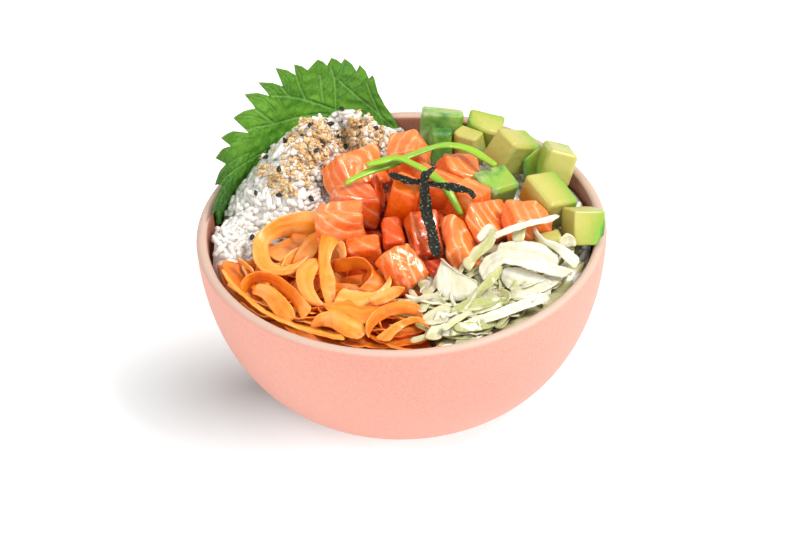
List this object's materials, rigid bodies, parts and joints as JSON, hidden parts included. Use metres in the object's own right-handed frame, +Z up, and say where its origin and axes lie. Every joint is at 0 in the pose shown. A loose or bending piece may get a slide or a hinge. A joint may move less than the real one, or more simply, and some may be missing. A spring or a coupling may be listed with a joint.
{
  "type": "salmon poke bowl",
  "caption": "Round bowl filled with sushi rice, diced salmon and avocado, carrot ribbons, shredded cabbage, a shiso leaf, scallion and nori strips and sesame.",
  "frame": {"origin": "middle of the bowl's flat underside, on the surface it stands on", "axes": "+Z up, -Y towards the side with the carrot and the cabbage, which faces the picture's camera, +X to its right"},
  "size_m": [0.18, 0.18, 0.1162],
  "materials": {
    "bowl_glaze": "satin salmon-pink glaze with a fine leathery grain",
    "cooked_rice": "moist and slightly translucent",
    "salmon_flesh": "wet",
    "avocado_flesh": "satin",
    "carrot_flesh": "moist satin",
    "cabbage_shred": "moist satin",
    "shiso_green": "satin",
    "scallion_green": "moist satin",
    "nori_sheet": "satin with a paler grain"
  },
  "bodies": {
    "root": {"bowl": "bowl_glaze", "rice": "cooked_rice", "salmon_01": "salmon_flesh", "salmon_02": "salmon_flesh", "salmon_03": "salmon_flesh", "salmon_04": "salmon_flesh", "salmon_05": "salmon_flesh", "salmon_06": "salmon_flesh", "salmon_07": "salmon_flesh", "salmon_08": "salmon_flesh", "salmon_09": "salmon_flesh", "salmon_10": "salmon_flesh", "salmon_11": "salmon_flesh", "salmon_12": "salmon_flesh", "salmon_13": "salmon_flesh", "salmon_14": "salmon_flesh", "salmon_15": "salmon_flesh", "salmon_16": "salmon_flesh", "salmon_17": "salmon_flesh", "salmon_18": "salmon_flesh", "salmon_19": "salmon_flesh", "salmon_20": "salmon_flesh", "salmon_21": "salmon_flesh", "salmon_22": "salmon_flesh", "avocado_01": "avocado_flesh", "avocado_02": "avocado_flesh", "avocado_03": "avocado_flesh", "avocado_04": "avocado_flesh", "avocado_05": "avocado_flesh", "avocado_06": "avocado_flesh", "avocado_07": "avocado_flesh", "avocado_08": "avocado_flesh", "avocado_09": "avocado_flesh", "avocado_10": "avocado_flesh", "avocado_11": "avocado_flesh", "carrot_ribbons": "carrot_flesh", "cabbage_shreds": "cabbage_shred", "shiso_leaf": "shiso_green", "scallion_strip_1": "scallion_green", "scallion_strip_2": "scallion_green", "nori_strip_1": "nori_sheet", "nori_strip_2": "nori_sheet"}
  },
  "joints": []
}
